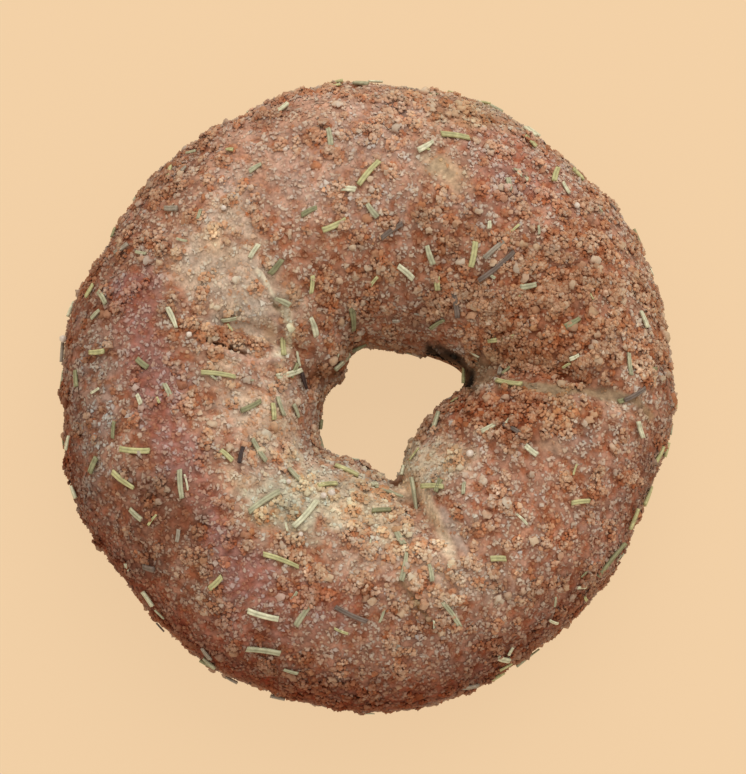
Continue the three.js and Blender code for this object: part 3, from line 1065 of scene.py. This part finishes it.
def food_material(name, roughness, specular, grain, spread, blotches=None, bump=None):
    """A dry surface in the tones of its points, with a noise of grains and maybe of broader blotches."""
    material = bpy.data.materials.new(name)
    material.use_nodes = True
    tree = material.node_tree
    surface = tree.nodes["Principled BSDF"]
    surface.inputs["Roughness"].default_value = roughness
    surface.inputs["Specular IOR Level"].default_value = specular
    tone = tree.nodes.new("ShaderNodeAttribute")
    tone.attribute_name = "tone"
    colour = tone.outputs["Color"]
    if blotches:
        colour = varied(tree, colour, noise_node(tree, *blotches["noise"]), *blotches["spread"])
    grains = noise_node(tree, *grain)
    tree.links.new(varied(tree, colour, grains, *spread), surface.inputs["Base Color"])
    if bump:
        bumped(tree, surface, grains, **bump)
    return material


# Noises are given by their blotches to the metre and their detail, spreads by the factors that the
# colour varies between.
CRUST_LOOK = dict(
    roughness=0.85, specular=0.1, grain=(2000, 2), spread=(0.85, 1.15),
    blotches=dict(noise=(700, 4), spread=(0.65, 1.35)), bump=dict(distance=0.2, strength=0.5),
)
CRUMB_LOOK = dict(roughness=1, specular=0.05, grain=(2400, 2), spread=(0.94, 1.06))
ROSEMARY_LOOK = dict(
    roughness=0.6, specular=0.4, grain=(1800, 3), spread=(0.85, 1.15),
    bump=dict(distance=0.15, strength=0.5),
)
SALT_LOOK = dict(
    roughness=0.35, specular=0.5, grain=(1500, 2), spread=(0.9, 1.08),
    bump=dict(distance=0.1, strength=0.3),
)


# ---- Stage ----

FLOOR_BASE = (0.12, 0.085, 0.05)
FLOOR_GLOW = (0.76, 0.547, 0.335)
FLOOR_SIDE = 3000


def make_floor():
    """A plain pale light table: mostly lit from within, so that shadows on it stay faint."""
    half = FLOOR_SIDE / 2 * MM
    mesh = bpy.data.meshes.new("floor")
    corners = [(-half, -half, 0), (half, -half, 0), (half, half, 0), (-half, half, 0)]
    mesh.from_pydata(corners, [], [(0, 1, 2, 3)])
    material = bpy.data.materials.new("floor")
    material.use_nodes = True
    surface = material.node_tree.nodes["Principled BSDF"]
    surface.inputs["Base Color"].default_value = (*FLOOR_BASE, 1)
    surface.inputs["Roughness"].default_value = 1
    surface.inputs["Specular IOR Level"].default_value = 0
    surface.inputs["Emission Color"].default_value = (*FLOOR_GLOW, 1)
    surface.inputs["Emission Strength"].default_value = 1
    mesh.materials.append(material)
    floor = bpy.data.objects.new("floor", mesh)
    bpy.context.scene.collection.objects.link(floor)


def place_aimed(thing, at, target):
    """Put an object at a place, its -Z towards a target and its top towards +Y."""
    thing.location = Vector(at) * MM
    thing.rotation_euler = (Vector(target) - Vector(at)).to_track_quat("-Z", "Y").to_euler()
    bpy.context.scene.collection.objects.link(thing)


KEY_AT = (220, 750, 850)
KEY_AIM = (0, 0, 20)
KEY_SIDE = 1100
KEY_WATTS = 7.5
WORLD_COLOUR = (1.0, 0.9, 0.8)
WORLD_STRENGTH = 0.82


def make_light():
    """A broad soft lamp behind the bagel, and an even room."""
    lamp = bpy.data.lights.new("key", "AREA")
    lamp.size = KEY_SIDE * MM
    lamp.energy = KEY_WATTS
    place_aimed(bpy.data.objects.new("key", lamp), KEY_AT, KEY_AIM)
    world = bpy.data.worlds.new("room")
    world.use_nodes = True
    background = world.node_tree.nodes["Background"]
    background.inputs["Color"].default_value = (*WORLD_COLOUR, 1)
    background.inputs["Strength"].default_value = WORLD_STRENGTH
    bpy.context.scene.world = world


CAMERA_ELEVATION = 83
CAMERA_DISTANCE = 520
CAMERA_AIM = (0.7, 1.25, 15.5)
CAMERA_LENS = 135.4
CAMERA_SENSOR = 36


def make_camera():
    elevation = math.radians(CAMERA_ELEVATION)
    back = Vector((0, -math.cos(elevation), math.sin(elevation)))
    lens = bpy.data.cameras.new("camera")
    lens.lens = CAMERA_LENS
    lens.sensor_width = CAMERA_SENSOR
    camera = bpy.data.objects.new("camera", lens)
    place_aimed(camera, Vector(CAMERA_AIM) + back * CAMERA_DISTANCE, CAMERA_AIM)
    bpy.context.scene.camera = camera


bpy.context.scene.view_settings.view_transform = "Standard"
make_camera()
make_light()
make_floor()
crumb_material = food_material("dry_crumbs", **CRUMB_LOOK)
rosemary_material = food_material("dried_rosemary", **ROSEMARY_LOOK)
make_dough(food_material("baked_crust", **CRUST_LOOK))
for number, (name, crumb_kind) in enumerate(CRUMB_KINDS.items()):
    make_crumbs(name, crumb_material, CRUMB_SEED + number, **crumb_kind)
make_needles(rosemary_material)
make_bits(rosemary_material)
make_salt(food_material("coarse_salt", **SALT_LOOK))
